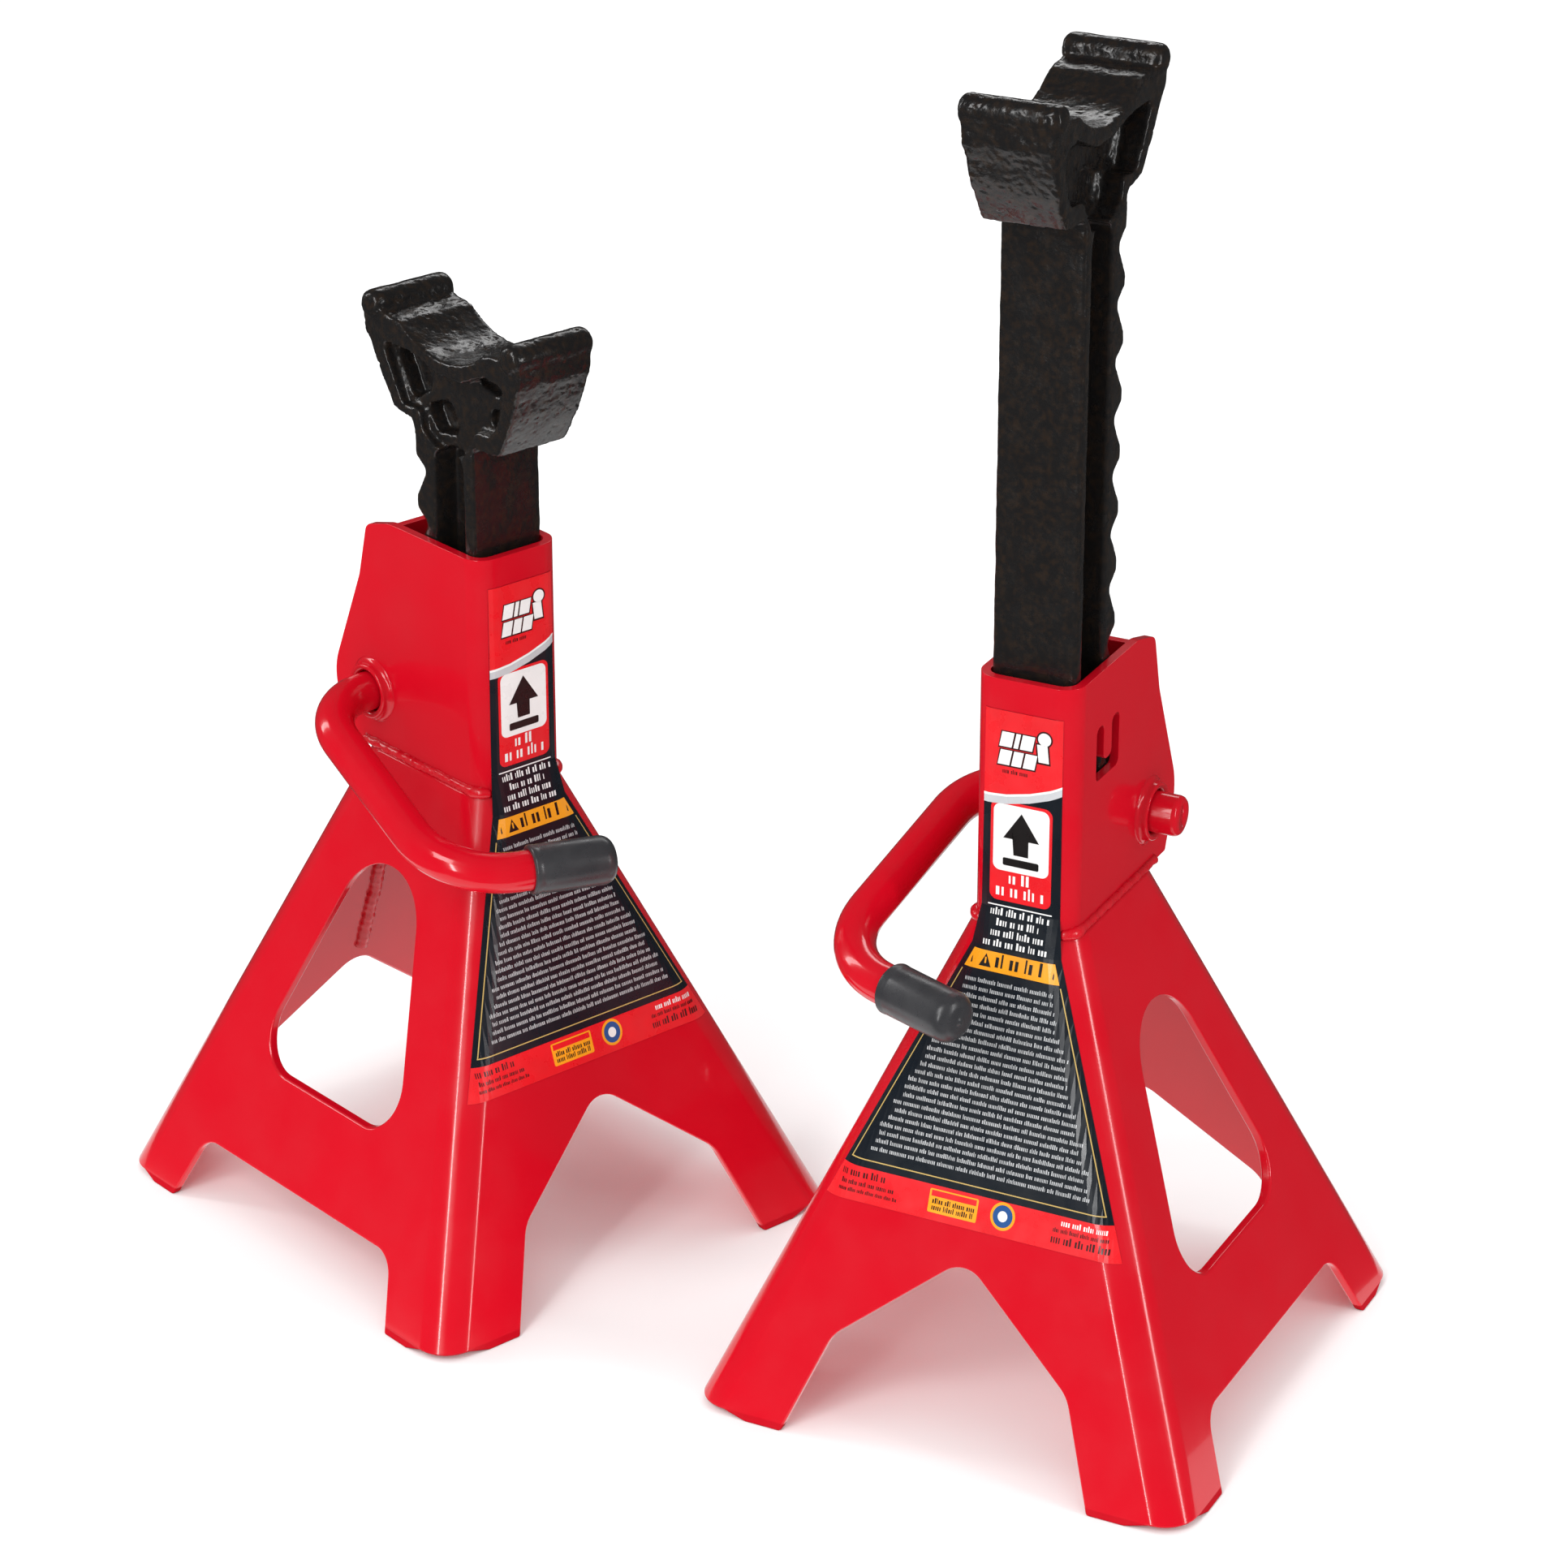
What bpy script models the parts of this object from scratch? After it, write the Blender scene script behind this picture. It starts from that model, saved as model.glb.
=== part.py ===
"""A pair of ratcheting axle jack stands, left one lowered and right one raised six notches.

Each stand: two stamped base shells, a bent column with a back plate and weld beads, a toothed
ratchet bar with a cradle saddle, a pawl on a bent lever, a sleeve grip and a front decal.
Lengths are in millimetres here and are turned into metres as the meshes are made.
In a stand's own frame X is its width, -Y its front, +Z up, and the lever is on the -X cheek.
"""
import bpy
import bmesh
import math
from mathutils import Matrix, Vector

MM = 0.001
GAP = 0.3                      # play left between pieces that bear on each other

# placement of the two stands: x, y, yaw in degrees, notches raised
STANDS = {"left": (-87.68, 46.59, 40.9, 0), "right": (93.32, -50.21, -27.1, 6)}

# pyramid base
SHEET = 3.0
FOOT_X, FOOT_Y = 80.0, 86.0    # half width and half depth on the floor
NECK_X, NECK_Y = 17.5, 31.2    # the same at the top edge
BASE_H = 151.0
HIP_R = 11.0
CORNER_LIFT = 1.8              # outer corners of the feet stand off the floor
FOOT_FLAT_X, FOOT_FLAT_Y = 61.0, 68.0
WINDOW = ((-38.6, 49.9, 13.0), (38.6, 49.9, 13.0), (0.0, 164.0, 20.0))
SIDE_NOTCH = ((-59.1, -5.0, 0), (-49.2, 20.9, 9.0), (49.2, 20.9, 9.0), (59.1, -5.0, 0))
FRONT_NOTCH = ((-51.1, -5.0, 0), (-37.5, 30.0, 12.0), (0.0, 59.8, 9.0), (37.5, 30.0, 12.0),
               (51.1, -5.0, 0))

# column
WALL = 2.8
COL_X, COL_FRONT = 16.1, -30.3
COL_R = 7.0
COL_FOOT = BASE_H + GAP
CHEEK = ((-32.0, COL_FOOT, 0), (39.0, COL_FOOT, 1.0), (46.3, 170.0, 18.0), (30.5, 207.0, 18.0),
         (26.0, 225.0, 4.0), (14.0, 228.4, 12.0), (-32.0, 228.4, 0))
SLOT = ((-15.2, 194.8, 2.0), (1.0, 194.8, 2.0), (1.0, 211.4, 2.2), (-4.4, 211.4, 2.2),
        (-4.4, 199.8, 2.4), (-10.0, 199.8, 2.4), (-10.0, 211.4, 2.2), (-15.2, 211.4, 2.2))
BACK_Y, BACK_T = 14.5, 2.8
BACK_Z = (210.0, 228.4)
COLLAR = ((15.0, 10.2), (16.1, 10.2), (16.7, 9.3), (17.6, 8.8), (18.7, 8.8), (19.2, 8.3))
BEAD = ((0.25, 151.3), (0.25, 155.2), (0.9, 154.9), (1.6, 153.8), (1.9, 152.4), (1.7, 151.3))
BEAD_BACK = 30.0

# ratchet bar and its saddle
BAR_X = 12.85
BAR_FRONT, ROOT_Y, CREST_Y = -24.5, -1.6, 3.8
BAR_FOOT = 30.0
PITCH = 16.93
TEETH = 12
FIRST_CREST = 253.2
CHANNEL = ((-19.7, 40.0, 6.0), (-5.6, 40.0, 6.0), (-5.6, 258.8, 5.0), (-19.7, 258.8, 5.0))
RECESS = ((18.6, 286.4, 2.5), (3.0, 286.0, 6.0), (-9.0, 282.3, 8.0), (-20.0, 282.0, 8.0),
          (-27.0, 285.2, 6.0), (-33.0, 287.6, 4.0), (-41.4, 286.4, 2.5), (-38.8, 276.0, 8.0),
          (-33.8, 269.2, 2.5), (-26.0, 268.6, 4.0), (-19.8, 258.2, 2.0), (-5.7, 258.2, 2.0),
          (0.6, 262.0, 3.0), (1.0, 268.4, 3.0), (9.8, 267.4, 2.0))
REAR_POCKET = ((17.0, 285.0, 2.5), (4.0, 285.0, 3.0), (-2.4, 275.6, 3.0), (8.0, 268.6, 2.5))
NECK_POCKET = ((1.6, 269.6, 2.0), (-10.6, 273.6, 3.0), (-15.6, 263.6, 3.0), (-3.4, 261.4, 2.5))
FRONT_GROOVE = ((-23.0, 283.2, 1.0), (-32.6, 286.8, 1.5), (-40.2, 285.0, 1.2), (-33.0, 280.6, 2.0))
FRONT_POCKET = ((-30.2, 270.4, 2.2), (-30.2, 276.4, 2.2), (-36.4, 276.4, 2.2), (-35.0, 270.4, 2.2))
# each outline with the web it leaves on the left and on the right of the middle plane
HOLLOWS = ((CHANNEL, 4.0, 4.0), (REAR_POCKET, 4.0, 4.0), (NECK_POCKET, 4.0, 4.0),
           (RECESS, 9.4, 5.2), (FRONT_GROOVE, 6.0, 4.4), (FRONT_POCKET, 6.0, 4.4))
SADDLE_MID = -11.5
VALLEY_R, VALLEY_Z, VALLEY_HALF = 33.0, 287.0, 20.6
SADDLE_X, SADDLE_TAPER = 12.4, 0.052

# lever and pawl
PIVOT = (25.0, 170.0)
ROD_R = 6.2
SHAFT_END = 27.0
ELBOW = (-38.1, 25.0, 170.0)
CORNER = (-49.1, -54.7, 142.5)
TIP = (1.1, -72.2, 141.0)
ELBOW_R, CORNER_R = 20.0, 27.0
GRIP_R, GRIP_LONG = 7.6, 27.0
PAWL_X = 11.0
HUB_R = 10.5
PAWL_NOSE = ((5.6, 187.0, 3.0), (-0.7, 197.0, 1.2), (4.4, 200.6, 1.5), (9.5, 197.5, 4.0))

# front decal
DECAL_LEVELS = ((219.0, 12.0), (157.0, 12.4), (145.5, 14.2), (68.5, 47.4))
DECAL_T, DECAL_OFF = 0.25, 0.25

COLOURS = {
    "red": ((0.70, 0.012, 0.022), 0.28, 0.0),
    "deep_red": ((0.60, 0.012, 0.020), 0.32, 0.0),
    "black": ((0.018, 0.016, 0.016), 0.30, 0.3),
    "steel": ((0.16, 0.15, 0.14), 0.45, 0.9),
    "rubber": ((0.060, 0.058, 0.062), 0.50, 0.0),
    "decal": ((0.010, 0.016, 0.024), 0.35, 0.0),
}


def fillet(before, corner, after, radius):
    """Points along the arc that rounds one corner of an outline."""
    a, b, c = Vector(before), Vector(corner), Vector(after)
    u, v = (a - b).normalized(), (c - b).normalized()
    half = u.angle(v) / 2
    reach = radius / math.tan(half)
    centre = b + (u + v).normalized() * (radius / math.sin(half))
    start, end = b + u * reach - centre, b + v * reach - centre
    turn = math.pi - 2 * half
    steps = max(2, math.ceil(turn / math.radians(18)))
    points = []
    for i in range(steps + 1):
        t = i / steps
        weight = (math.sin((1 - t) * turn), math.sin(t * turn))
        points.append(centre + (start * weight[0] + end * weight[1]) / math.sin(turn))
    return points


def rounded(corners):
    """A closed outline from corners given as (a, b, radius)."""
    points = []
    for i, (a, b, radius) in enumerate(corners):
        before = corners[i - 1][:2]
        after = corners[(i + 1) % len(corners)][:2]
        if radius:
            points += [tuple(p) for p in fillet(before, (a, b), after, radius)]
        else:
            points.append((a, b))
    return points


def mesh_of(name, points, faces):
    """A closed mesh in metres with outward faces."""
    mesh = bpy.data.meshes.new(name)
    mesh.from_pydata([tuple(MM * c for c in p) for p in points], [], faces)
    work = bmesh.new()
    work.from_mesh(mesh)
    bmesh.ops.recalc_face_normals(work, faces=work.faces)
    work.to_mesh(mesh)
    work.free()
    return mesh


def prism(name, outline, axis, low, high):
    """An outline pushed along one axis: X takes (y, z), Y takes (x, z), Z takes (x, y)."""
    place = {"X": lambda a, b, t: (t, a, b), "Y": lambda a, b, t: (a, t, b),
             "Z": lambda a, b, t: (a, b, t)}[axis]
    n = len(outline)
    points = [place(a, b, low) for a, b in outline] + [place(a, b, high) for a, b in outline]
    faces = [list(range(n)), list(range(2 * n - 1, n - 1, -1))]
    faces += [(i, (i + 1) % n, n + (i + 1) % n, n + i) for i in range(n)]
    return mesh_of(name, points, faces)


def loft(name, rings):
    """Equal rings joined one to the next and closed at both ends."""
    n = len(rings[0])
    points = [p for ring in rings for p in ring]
    faces = [list(range(n)), list(range(len(points) - 1, len(points) - n - 1, -1))]
    for k in range(len(rings) - 1):
        for i in range(n):
            j = (i + 1) % n
            faces.append((k * n + i, k * n + j, (k + 1) * n + j, (k + 1) * n + i))
    return mesh_of(name, points, faces)


def turned(name, profile, origin, direction, sides):
    """Rings of the (distance, radius) profile about a straight axis."""
    axis = Vector(direction).normalized()
    side = axis.orthogonal().normalized()
    up = axis.cross(side)
    rings = []
    for along, radius in profile:
        centre = Vector(origin) + axis * along
        ring = []
        for i in range(sides):
            a = 2 * math.pi * i / sides
            ring.append(tuple(centre + side * radius * math.cos(a) + up * radius * math.sin(a)))
        rings.append(ring)
    return loft(name, rings)


def combine(mesh, operation, others):
    """One mesh joined with, cut by or kept inside each of the others in turn."""
    body = bpy.data.objects.new("work_body", mesh)
    bpy.context.collection.objects.link(body)
    tools = []
    for other in others:
        tool = bpy.data.objects.new("work_tool", other)
        bpy.context.collection.objects.link(tool)
        step = body.modifiers.new("step", "BOOLEAN")
        step.operation = operation
        step.solver = "EXACT"
        step.object = tool
        tools.append(tool)
    graph = bpy.context.evaluated_depsgraph_get()
    result = bpy.data.meshes.new_from_object(body.evaluated_get(graph))
    result.name = mesh.name
    for thing in [body] + tools:
        bpy.data.objects.remove(thing, do_unlink=True)
    return result


def half_width(z):
    return FOOT_X + (NECK_X - FOOT_X) * z / BASE_H


def half_depth(z):
    return FOOT_Y + (NECK_Y - FOOT_Y) * z / BASE_H


def hip_point(angle, z, shrink_x, shrink_y):
    """A point of the rounded front right corner; 0 faces +X, 90 degrees faces the front."""
    x = half_width(z) - HIP_R + (HIP_R - shrink_x) * math.cos(angle)
    y = -(half_depth(z) - HIP_R + (HIP_R - shrink_y) * math.sin(angle))
    return x, y, z


def base_stations():
    """Bottom height and a function giving the point at any height, from seam to side middle."""
    stations = []
    for x in (GAP / 2, FOOT_FLAT_X):
        share = x / (FOOT_X - HIP_R)
        stations.append((0.0, "front", share))
    for i in range(5):
        stations.append((CORNER_LIFT, "hip", math.radians(90 - 22.5 * i)))
    stations.append((0.0, "side", FOOT_FLAT_Y / (FOOT_Y - HIP_R)))
    return stations


def shell_point(kind, share, z, shrink_x, shrink_y):
    if kind == "hip":
        return hip_point(share, z, shrink_x, shrink_y)
    if kind == "front":
        x = GAP / 2 if share < 0.01 else share * (half_width(z) - HIP_R)
        return x, -(half_depth(z) - shrink_y), z
    return half_width(z) - shrink_x, -share * (half_depth(z) - HIP_R), z


def base_half(name, side):
    """One stamped shell: a side face with half of the front and of the back."""
    thick_x = SHEET / math.cos(math.atan((FOOT_X - NECK_X) / BASE_H))
    thick_y = SHEET / math.cos(math.atan((FOOT_Y - NECK_Y) / BASE_H))
    rings = []
    for low, kind, share in base_stations():
        rings.append([shell_point(kind, share, low, 0, 0),
                      shell_point(kind, share, BASE_H, 0, 0),
                      shell_point(kind, share, BASE_H, thick_x, thick_y),
                      shell_point(kind, share, low, thick_x, thick_y)])
    rings += [[(x, -y, z) for x, y, z in ring] for ring in reversed(rings)]
    rings = [[(side * x, y, z) for x, y, z in ring] for ring in rings]
    reach = sorted((side * 8.0, side * 95.0))
    cuts = [prism("cut", rounded(WINDOW), "X", *reach),
            prism("cut", rounded(SIDE_NOTCH), "X", *reach),
            prism("cut", rounded(FRONT_NOTCH), "Y", -100.0, 100.0)]
    return combine(loft(name, rings), "DIFFERENCE", cuts)


def column():
    """The bent plate: a front wall and two cheeks, with collars round the lever shaft."""
    inner = COL_X - WALL
    plan = rounded(((-COL_X, 50.0, 0), (-COL_X, COL_FRONT, COL_R), (COL_X, COL_FRONT, COL_R),
                    (COL_X, 50.0, 0), (inner, 50.0, 0), (inner, COL_FRONT + WALL, COL_R - WALL),
                    (-inner, COL_FRONT + WALL, COL_R - WALL), (-inner, 50.0, 0)))
    body = prism("column", plan, "Z", COL_FOOT - 5, 240.0)
    body = combine(body, "INTERSECT", [prism("keep", rounded(CHEEK), "X", -20.0, 20.0)])
    centre = (0, *PIVOT)
    collars = [turned("collar", COLLAR, centre, (side, 0, 0), 24) for side in (-1, 1)]
    body = combine(body, "UNION", collars)
    bore = turned("bore", ((-22.0, ROD_R + 0.35), (22.0, ROD_R + 0.35)), centre, (1, 0, 0), 24)
    slot = prism("slot", rounded(SLOT), "X", 10.0, 20.0)
    return combine(body, "DIFFERENCE", [bore, slot])


def back_plate():
    inner = COL_X - WALL - GAP
    plan = ((-inner, BACK_Y), (inner, BACK_Y), (inner, BACK_Y + BACK_T), (-inner, BACK_Y + BACK_T))
    return prism("back_plate", plan, "Z", *BACK_Z)


def weld_bead(side):
    """A bead round one front corner of the column and back along its cheek."""
    rings = []
    for i in range(5):
        a = math.radians(-56 + 14 * i)
        x = COL_X - COL_R + COL_R * math.cos(a)
        y = COL_FRONT + COL_R + COL_R * math.sin(a)
        rings.append([(side * (x + d * math.cos(a)), y + d * math.sin(a), z) for d, z in BEAD])
    rings.append([(side * (COL_X + d), BEAD_BACK, z) for d, z in BEAD])
    return loft("weld_bead", rings)


def tooth_outline():
    """The rear edge of the bar from its foot up: slope in, rounded root, hooked underside."""
    points = []
    for n in range(TEETH - 1, -1, -1):
        crest = FIRST_CREST - n * PITCH
        points += [(CREST_Y, crest - 13.2, 1.5), (ROOT_Y, crest - 4.06, 1.2),
                   (CREST_Y, crest, 0.9)]
    return points


def valley():
    """The cradle's arc, from front to rear."""
    points = []
    reach = math.asin(VALLEY_HALF / VALLEY_R)
    for i in range(9):
        a = reach * (i / 4 - 1)
        points.append((SADDLE_MID - 0.5 + VALLEY_R * math.sin(a),
                       VALLEY_Z + VALLEY_R * (1 - math.cos(a)), 0))
    return points


def saddle_outline():
    """The saddle from the front of its neck over the two lips to the rear of its neck."""
    front = [(-20.0, 252.0, 0), (-24.5, 255.0, 0), (-24.5, 262.6, 1.5), (-37.4, 263.4, 2.0),
             (-43.4, 273.3, 30.0), (-49.4, 289.0, 8.0), (-49.0, 300.2, 3.4), (-42.0, 300.2, 3.0),
             (-41.2, 295.4, 0.8)]
    rear = [(18.2, 295.4, 0.8), (19.0, 300.2, 3.0), (26.4, 300.2, 3.4), (26.6, 289.0, 8.0),
            (20.4, 277.0, 30.0), (14.4, 265.6, 2.0), (5.0, 263.8, 1.5), (3.8, 259.0, 0),
            (0.0, 252.0, 0)]
    return rounded(front + valley() + rear)


def ratchet_bar():
    """An I-section toothed bar with the saddle on top, as one casting."""
    stem = [(BAR_FRONT, BAR_FOOT, 1.0), (ROOT_Y, BAR_FOOT, 1.0)] + tooth_outline()
    stem += [(CREST_Y, 261.0, 0), (BAR_FRONT, 261.0, 0)]
    body = prism("ratchet_bar", rounded(stem), "X", -BAR_X, BAR_X)
    saddle = prism("saddle", saddle_outline(), "X", -1.0, 1.0)
    for vertex in saddle.vertices:
        vertex.co.x *= SADDLE_X + SADDLE_TAPER * (vertex.co.z / MM - 262.0)
    body = combine(body, "UNION", [saddle])
    cuts = []
    for outline, web_left, web_right in HOLLOWS:
        cuts.append(prism("cut", rounded(outline), "X", -20.0, -web_left))
        cuts.append(prism("cut", rounded(outline), "X", web_right, 20.0))
    return combine(body, "DIFFERENCE", cuts)


def pawl():
    """The catch on the lever shaft: a round hub with a nose that sits under one tooth."""
    y, z = PIVOT
    outline = []
    for i in range(15):
        a = math.radians(200 + 13.5 * i + 6)
        outline.append((y + HUB_R * math.cos(a), z + HUB_R * math.sin(a)))
    ends = [outline[0], outline[-1]]
    nose = rounded([(*ends[0], 0)] + list(PAWL_NOSE) + [(*ends[1], 0)])
    body = prism("pawl", outline + nose[-2:0:-1], "X", -PAWL_X, PAWL_X)
    bore = turned("bore", ((-14.0, ROD_R + 0.3), (14.0, ROD_R + 0.3)), (0, y, z), (1, 0, 0), 24)
    return combine(body, "DIFFERENCE", [bore])


def lever():
    """The bent round bar: shaft, elbow, arm, corner and handle, with eased ends."""
    start = (SHAFT_END, *PIVOT)
    axis = (Vector(TIP) - Vector(CORNER)).normalized()
    end = Vector(TIP) - axis * 3.0
    path = [Vector(start) + Vector((-t, 0, 0)) for t in (0.0, 0.7, 2.0)]
    radii = [ROD_R - 2.0, ROD_R - 0.6, ROD_R]
    bends = fillet(start, ELBOW, CORNER, ELBOW_R) + fillet(ELBOW, CORNER, TIP, CORNER_R)
    path += bends + [end - axis * 1.0, end]
    radii += [ROD_R] * (len(bends) + 1) + [ROD_R - 1.0]
    rings = []
    side = Vector((0, 0, 1))
    for i, point in enumerate(path):
        ahead = path[min(i + 1, len(path) - 1)] - path[max(i - 1, 0)]
        ahead.normalize()
        side = (side - ahead * side.dot(ahead)).normalized()
        up = ahead.cross(side)
        rings.append([tuple(point + side * radii[i] * math.cos(k * math.pi / 8)
                            + up * radii[i] * math.sin(k * math.pi / 8)) for k in range(16)])
    return loft("lever", rings)


def grip():
    """A soft sleeve closed over the end of the handle."""
    axis = Vector(TIP) - Vector(CORNER)
    inside = ROD_R + 0.3
    profile = ((-2.4, inside - 1.4), (-2.9, inside), (-GRIP_LONG, inside),
               (-GRIP_LONG, GRIP_R - 0.3), (-GRIP_LONG + 0.5, GRIP_R), (-2.6, GRIP_R),
               (-1.1, GRIP_R - 0.9), (-0.3, GRIP_R - 2.6), (0.0, GRIP_R - 5.0))
    return turned("lever_grip", profile, TIP, axis, 20)


def decal_row(z, half, offset):
    """Six points across the decal at one height, following the rounded edges."""
    on_column = z > BASE_H
    radius = COL_R if on_column else HIP_R
    centre_x = (COL_X if on_column else half_width(z)) - radius
    front = COL_FRONT if on_column else -half_depth(z)
    turn = math.asin((half - centre_x) / (radius + offset))
    right = []
    for a in (0.0, turn / 2, turn):
        right.append((centre_x + (radius + offset) * math.sin(a),
                      front + radius - (radius + offset) * math.cos(a), z))
    return [(-x, y, z) for x, y, z in reversed(right)] + right


def decal():
    outer = [decal_row(z, half, DECAL_OFF + DECAL_T) for z, half in DECAL_LEVELS]
    inner = [decal_row(z, half, DECAL_OFF) for z, half in reversed(DECAL_LEVELS)]
    columns = zip(*(outer + inner))
    return loft("decal", [list(ring) for ring in columns])


def paint(name, colour):
    """A material of the node's own."""
    tint, roughness, metallic = COLOURS[colour]
    material = bpy.data.materials.new(name + "_finish")
    material.use_nodes = True
    shader = material.node_tree.nodes["Principled BSDF"]
    shader.inputs["Base Color"].default_value = (*tint, 1.0)
    shader.inputs["Roughness"].default_value = roughness
    shader.inputs["Metallic"].default_value = metallic
    material.diffuse_color = (*tint, 1.0)
    return material


def empty(name, parent, place, yaw=0.0):
    thing = bpy.data.objects.new(name, None)
    bpy.context.collection.objects.link(thing)
    thing.parent = parent
    thing.location = [MM * c for c in place]
    thing.rotation_euler = (0, 0, math.radians(yaw))
    return thing


def node(name, mesh, colour, parent, origin=(0, 0, 0), smooth=True):
    """A named copy of a mesh whose own origin lies at the given point of the stand."""
    own = mesh.copy()
    own.name = name
    own.transform(Matrix.Translation([-MM * c for c in origin]))
    thing = bpy.data.objects.new(name, own)
    bpy.context.collection.objects.link(thing)
    own.materials.clear()
    own.materials.append(paint(name, colour))
    thing.parent = parent
    if smooth:
        own.shade_smooth()
        own.set_sharp_from_angle(angle=math.radians(35))
    return thing


def clear_scene():
    for thing in list(bpy.data.objects):
        bpy.data.objects.remove(thing, do_unlink=True)


def build_meshes():
    return {
        "base_left_half": base_half("base_left_half", -1),
        "base_right_half": base_half("base_right_half", 1),
        "column": column(),
        "back_plate": back_plate(),
        "weld_bead_left": weld_bead(-1),
        "weld_bead_right": weld_bead(1),
        "decal": decal(),
        "ratchet_bar": ratchet_bar(),
        "pawl": pawl(),
        "lever": lever(),
        "lever_grip": grip(),
    }


FINISH = {"base_left_half": "red", "base_right_half": "red", "column": "red",
          "back_plate": "deep_red", "weld_bead_left": "red", "weld_bead_right": "red",
          "decal": "decal", "ratchet_bar": "black", "pawl": "steel", "lever": "red",
          "lever_grip": "rubber"}


def build_stand(prefix, meshes, x, y, yaw, notches):
    """Place one stand: fixed pieces, the bar on its slide, the lever pieces on their pivot."""
    stand = empty(prefix + "_stand", None, (x, y, 0), yaw)
    slide = empty(prefix + "_bar_slide", stand, (0, SADDLE_MID, notches * PITCH))
    pivot = empty(prefix + "_lever_pivot", stand, (0, *PIVOT))
    for name, mesh in meshes.items():
        full = prefix + "_" + name
        if name == "ratchet_bar":
            node(full, mesh, FINISH[name], slide, (0, SADDLE_MID, 0))
        elif name in ("pawl", "lever", "lever_grip"):
            node(full, mesh, FINISH[name], pivot, (0, *PIVOT))
        else:
            node(full, mesh, FINISH[name], stand)


clear_scene()
parts = build_meshes()
for label, place in STANDS.items():
    build_stand(label, parts, *place)
for spare in parts.values():
    bpy.data.meshes.remove(spare)
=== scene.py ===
"""Looks for a pair of ratcheting axle jack stands: enamelled shells, rough cast bars, a print film.

Shapes are made in a stand's own frame in millimetres (X width, -Y front, +Z up) and are placed
in metres where the CAD has them. Each stand is the same set of pieces at its own place.
"""
import bpy
import bmesh
import math
import random
from mathutils import Matrix, Vector, noise


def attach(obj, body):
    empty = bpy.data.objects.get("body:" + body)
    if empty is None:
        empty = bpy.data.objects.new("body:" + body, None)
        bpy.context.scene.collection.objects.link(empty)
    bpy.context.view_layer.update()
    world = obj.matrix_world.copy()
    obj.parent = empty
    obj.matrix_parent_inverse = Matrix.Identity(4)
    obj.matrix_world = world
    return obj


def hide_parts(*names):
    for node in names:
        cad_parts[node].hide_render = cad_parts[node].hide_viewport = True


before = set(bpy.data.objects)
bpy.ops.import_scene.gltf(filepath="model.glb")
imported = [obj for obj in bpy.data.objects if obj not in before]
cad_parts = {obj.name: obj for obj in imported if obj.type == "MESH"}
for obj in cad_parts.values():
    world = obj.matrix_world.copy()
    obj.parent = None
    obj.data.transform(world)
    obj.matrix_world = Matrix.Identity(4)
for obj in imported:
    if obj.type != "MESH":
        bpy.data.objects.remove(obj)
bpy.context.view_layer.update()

MM = 0.001
# each stand's place (x, y), its turn in degrees, and how many notches its bar is raised
STANDS = {"left": (-87.68, 46.59, 40.9, 0), "right": (93.32, -50.21, -27.1, 6)}
PITCH = 16.93  # height of one notch

# camera and light; the lens is in millimetres over a 36 mm frame, its shift in frame widths
LENS, LENS_SHIFT, PITCH_DOWN = 108.466, -0.07764, 0.400
CAMERA_AT = (0.01175, -1.2991, 0.7515)
SKY, SKY_IN_GLOSS = 1.0, 0.06
FLOOR_HALF = 4
# each light as (name, place, target, (width, height), power)
LIGHTS = (
    ("key", (-0.9, -1.3, 1.6), (0, 0, 0.2), (0.6, 0.8), 12),
    ("strip_left", (-0.75, -1.5, 0.62), (0, 0, 0.2), (0.10, 0.9), 6),
    ("strip_right", (1.25, -0.75, 0.60), (0, 0, 0.2), (0.12, 0.9), 4),
    ("rim", (-1.3, 0.5, 0.8), (0, 0, 0.2), (0.2, 0.9), 4),
    ("back", (0.3, 1.4, 1.2), (0, 0, 0.2), (0.9, 0.3), 3),
    ("floor_bounce", (-0.02, 0.0, 0.002), (-0.02, 0.0, 1.0), (0.46, 0.4), 0.5),
)

# pyramid base
SHEET = 3.0
FOOT_X, FOOT_Y = 80.0, 86.0
NECK_X, NECK_Y = 17.5, 31.2
BASE_H = 151.0
HIP_R = 11.0
HIP_STEPS = 14
CORNER_LIFT = 1.8
FOOT_FLAT_X, FOOT_FLAT_Y = 61.0, 68.0
WINDOW = ((-38.6, 49.9, 13.0), (38.6, 49.9, 13.0), (0.0, 164.0, 20.0))
SIDE_NOTCH = ((-59.1, -5.0, 0), (-49.2, 20.9, 9.0), (49.2, 20.9, 9.0), (59.1, -5.0, 0))
FRONT_NOTCH = ((-51.1, -5.0, 0), (-37.5, 30.0, 12.0), (0.0, 59.8, 9.0), (37.5, 30.0, 12.0),
               (51.1, -5.0, 0))
SEAM_FOOT, SEAM_STEPS, SEAM_STEP, SEAM_R = 62.0, 70, 1.25, 2.3

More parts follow.
